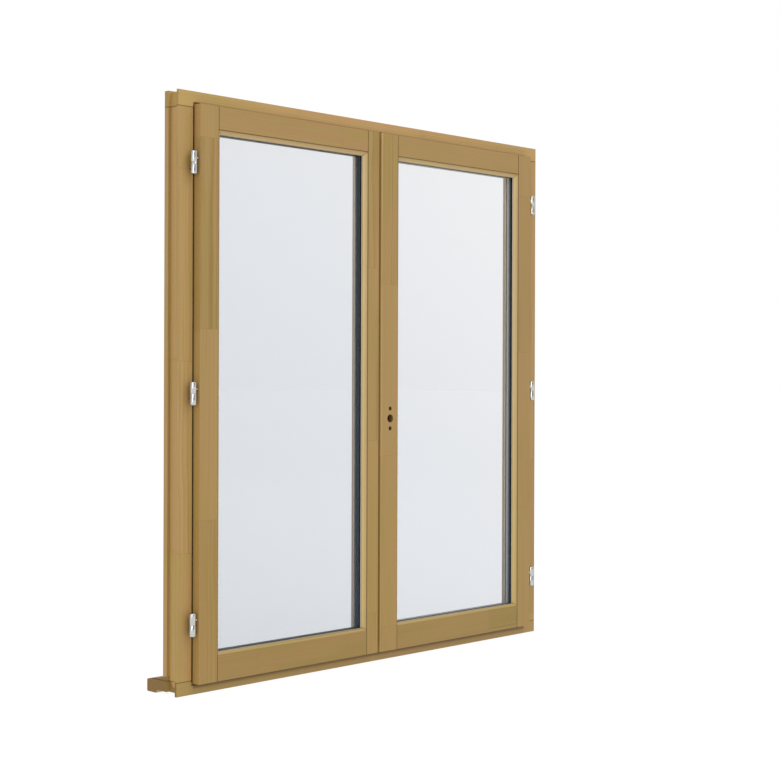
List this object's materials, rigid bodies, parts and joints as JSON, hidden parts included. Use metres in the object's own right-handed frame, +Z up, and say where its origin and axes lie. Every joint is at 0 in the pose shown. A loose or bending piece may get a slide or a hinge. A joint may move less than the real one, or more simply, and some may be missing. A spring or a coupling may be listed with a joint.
{
  "type": "casement window",
  "caption": "Double casement window: timber frame with a projecting sill and inward-opening glazed leaves on barrel hinges, locked by rods from a spindle.",
  "frame": {"origin": "bottom centre of the whole window's box, at the underside of the sill", "axes": "+Z up the height, +X to the right seen from the room, +Y from the room to the weather side"},
  "size_m": [1.085, 0.111, 1.165],
  "materials": {
    "stained_timber": "satin light-oak stain",
    "clear_glass": "polished",
    "black_rubber": "matte",
    "glazing_sealant": "satin",
    "spacer_alloy": "satin, dark lacquered",
    "block_plastic": "matte",
    "zinc_plate": "bright zinc plate",
    "plain_steel": "satin"
  },
  "bodies": {
    "frame": {"head": "stained_timber", "left_jamb": "stained_timber", "right_jamb": "stained_timber", "sill": "stained_timber", "frame_weather_seal": "black_rubber", "head_keeper": "zinc_plate", "sill_keeper": "zinc_plate", "keeper_screws": "plain_steel", "left_top_hinge_frame_half": "zinc_plate", "left_middle_hinge_frame_half": "zinc_plate", "left_bottom_hinge_frame_half": "zinc_plate", "right_top_hinge_frame_half": "zinc_plate", "right_middle_hinge_frame_half": "zinc_plate", "right_bottom_hinge_frame_half": "zinc_plate", "left_hinge_pins": "plain_steel", "right_hinge_pins": "plain_steel"},
    "left_leaf": {"left_hinge_stile": "stained_timber", "left_meeting_stile": "stained_timber", "left_top_rail": "stained_timber", "left_bottom_rail": "stained_timber", "left_inner_glass": "clear_glass", "left_outer_glass": "clear_glass", "left_spacer_bar": "spacer_alloy", "left_edge_seal": "black_rubber", "left_glazing_seals": "glazing_sealant", "left_glazing_beads": "stained_timber", "left_setting_blocks": "block_plastic", "left_drip_bar": "stained_timber", "left_top_hinge_leaf_half": "zinc_plate", "left_middle_hinge_leaf_half": "zinc_plate", "left_bottom_hinge_leaf_half": "zinc_plate", "meeting_seal": "black_rubber", "bolt_cases": "zinc_plate"},
    "right_leaf": {"right_hinge_stile": "stained_timber", "right_meeting_stile": "stained_timber", "right_top_rail": "stained_timber", "right_bottom_rail": "stained_timber", "right_inner_glass": "clear_glass", "right_outer_glass": "clear_glass", "right_spacer_bar": "spacer_alloy", "right_edge_seal": "black_rubber", "right_glazing_seals": "glazing_sealant", "right_glazing_beads": "stained_timber", "right_setting_blocks": "block_plastic", "right_drip_bar": "stained_timber", "right_top_hinge_leaf_half": "zinc_plate", "right_middle_hinge_leaf_half": "zinc_plate", "right_bottom_hinge_leaf_half": "zinc_plate", "lock_case": "zinc_plate", "lock_faceplate": "zinc_plate", "faceplate_screws": "plain_steel"},
    "top_bolt": {"top_bolt": "plain_steel"},
    "bottom_bolt": {"bottom_bolt": "plain_steel"},
    "spindle": {"spindle_pinion": "plain_steel"},
    "upper_rod": {"upper_lock_rod": "plain_steel"},
    "lower_rod": {"lower_lock_rod": "plain_steel"}
  },
  "joints": [
    {"name": "left_leaf_swing", "type": "hinge", "parent": "frame", "child": "left_leaf", "pos_m": [-0.5145, -0.049, 0.5815], "axis": [0, 0, -1], "range_deg": [0, 100]},
    {"name": "right_leaf_swing", "type": "hinge", "parent": "frame", "child": "right_leaf", "pos_m": [0.5145, -0.049, 0.5815], "axis": [0, 0, 1], "range_deg": [0, 100]},
    {"name": "spindle_turn", "type": "hinge", "parent": "right_leaf", "child": "spindle", "pos_m": [0.023, -0.0195, 0.524], "axis": [0, 1, 0], "range_deg": [0, 90]},
    {"name": "upper_rod_slide", "type": "slide", "parent": "right_leaf", "child": "upper_rod", "axis": [0, 0, 1], "range_m": [0, 0.01257]},
    {"name": "lower_rod_slide", "type": "slide", "parent": "right_leaf", "child": "lower_rod", "axis": [0, 0, -1], "range_m": [0, 0.0126]},
    {"name": "top_bolt_slide", "type": "slide", "parent": "left_leaf", "child": "top_bolt", "axis": [0, 0, 1], "range_m": [0, 0.012]},
    {"name": "bottom_bolt_slide", "type": "slide", "parent": "left_leaf", "child": "bottom_bolt", "axis": [0, 0, -1], "range_m": [0, 0.012]}
  ],
  "couplings": [
    {"joint": "spindle_turn", "follows": "upper_rod_slide", "rad_per_m": 125},
    {"joint": "lower_rod_slide", "follows": "upper_rod_slide", "ratio": 1}
  ]
}
